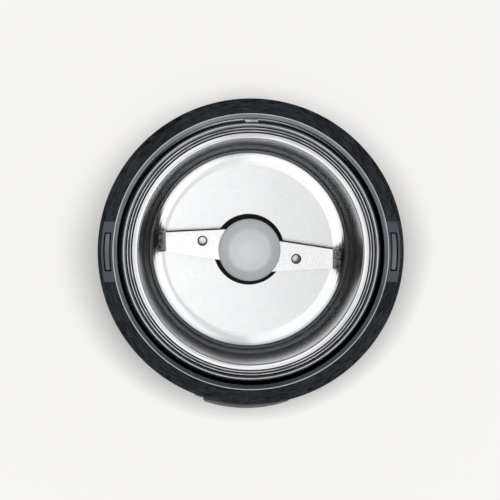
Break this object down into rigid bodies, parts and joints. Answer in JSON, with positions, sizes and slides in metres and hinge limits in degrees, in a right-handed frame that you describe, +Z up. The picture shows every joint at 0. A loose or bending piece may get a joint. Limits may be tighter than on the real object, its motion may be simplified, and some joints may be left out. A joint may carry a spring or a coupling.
{
  "type": "electric spice grinder",
  "caption": "Round countertop spice grinder base without its lid: lift-out steel bowl, two-arm blade, motor, domed front push button and spring-loaded lid interlock plungers.",
  "frame": {"origin": "on the spindle axis, at the level of the table that the foot ring stands on", "axes": "+Z up along the spindle; -Y to the front with the push button; +X to the right plunger"},
  "size_m": [0.1088, 0.1188, 0.145],
  "materials": {
    "black_housing": "fine matt black",
    "black_rim": "black with fine turned streaks",
    "black_button": "satin black",
    "black_inner": "black moulded plastic",
    "black_rubber": "matt black rubber",
    "grey_carrier": "dark grey moulded plastic",
    "polished_steel": "polished",
    "bowl_steel": "satin with fine turned rings",
    "blade_steel": "bright rolled steel",
    "satin_cap": "satin light grey",
    "shaft_steel": "ground",
    "spring_steel": "drawn wire",
    "screw_steel": "zinc plated",
    "bracket_metal": "die-cast",
    "lamination_steel": "stacked sheet edges",
    "bronze": "sintered bronze",
    "brass": "drawn brass",
    "copper": "enamelled copper wire",
    "carbon": "pressed carbon",
    "insert_grey": "dark grey satin plastic",
    "plunger_grey": "dark grey satin plastic",
    "switch_body": "moulded",
    "switch_pin": "red moulded plastic",
    "board_green": "circuit board",
    "capacitor_film": "yellow film capacitor case"
  },
  "bodies": {
    "root": {"base_cover": "black_inner", "base_screws": "screw_steel", "bowl_chamber": "black_inner", "bracket_screws": "screw_steel", "brush_holders": "brass", "brush_springs": "spring_steel", "button_bezel": "black_housing", "button_spring": "spring_steel", "carbon_brushes": "carbon", "collar_trim": "polished_steel", "control_board": "board_green", "cord_inlet": "black_rubber", "field_coils": "copper", "foot_ring": "black_rubber", "housing_shell": "black_housing", "interference_capacitor": "capacitor_film", "left_interlock_switch": "switch_body", "left_plunger_spring": "spring_steel", "left_slot_insert": "insert_grey", "lid_key": "polished_steel", "lower_bearing": "bronze", "lower_motor_bracket": "bracket_metal", "main_switch": "switch_body", "motor_mount_screws": "screw_steel", "motor_screws": "screw_steel", "right_interlock_switch": "switch_body", "right_plunger_spring": "spring_steel", "right_slot_insert": "insert_grey", "rim_liner": "polished_steel", "rim_ring": "black_rim", "rim_screws": "screw_steel", "rubber_mounts": "black_rubber", "stator_stack": "lamination_steel", "switch_bracket": "black_inner", "upper_bearing": "bronze", "upper_motor_bracket": "bracket_metal"},
    "bowl": {"steel_bowl": "bowl_steel", "bowl_carrier": "grey_carrier", "shaft_bush": "bronze", "bowl_gasket": "black_rubber"},
    "blade_rotor": {"blade_shaft": "shaft_steel", "blade_spacer": "shaft_steel", "blade": "blade_steel", "blade_cap": "satin_cap", "upper_drive_dog": "black_inner"},
    "motor_rotor": {"motor_shaft": "shaft_steel", "rotor_core": "lamination_steel", "armature_windings": "copper", "commutator": "copper", "cooling_fan": "black_inner", "lower_drive_dog": "black_inner"},
    "left_plunger": {"left_interlock_plunger": "plunger_grey", "left_switch_lever": "switch_pin"},
    "right_plunger": {"right_interlock_plunger": "plunger_grey", "right_switch_lever": "switch_pin"},
    "button": {"front_button": "black_button", "main_switch_pin": "switch_pin"}
  },
  "joints": [
    {"name": "bowl_lift", "type": "slide", "parent": "root", "child": "bowl", "axis": [0, 0, 1], "range_m": [0, 0.06]},
    {"name": "motor_spin", "type": "hinge", "parent": "root", "child": "motor_rotor", "pos_m": [0, 0, 0.054], "axis": [0, 0, 1], "continuous": true},
    {"name": "blade_spin", "type": "hinge", "parent": "bowl", "child": "blade_rotor", "pos_m": [0, 0, 0.11], "axis": [0, 0, 1], "continuous": true},
    {"name": "left_interlock", "type": "slide", "parent": "root", "child": "left_plunger", "axis": [0, 0, -1], "range_m": [0, 0.0025], "stiffness_N_per_m": 400, "springref_m": -0.002, "deforming": ["left_plunger_spring"]},
    {"name": "right_interlock", "type": "slide", "parent": "root", "child": "right_plunger", "axis": [0, 0, -1], "range_m": [0, 0.0025], "stiffness_N_per_m": 400, "springref_m": -0.002, "deforming": ["right_plunger_spring"]},
    {"name": "button_press", "type": "slide", "parent": "root", "child": "button", "axis": [0, 1, 0], "range_m": [0, 0.003], "stiffness_N_per_m": 900, "springref_m": -0.002, "deforming": ["button_spring"]}
  ],
  "couplings": [
    {"joint": "blade_spin", "follows": "motor_spin", "ratio": 1}
  ]
}
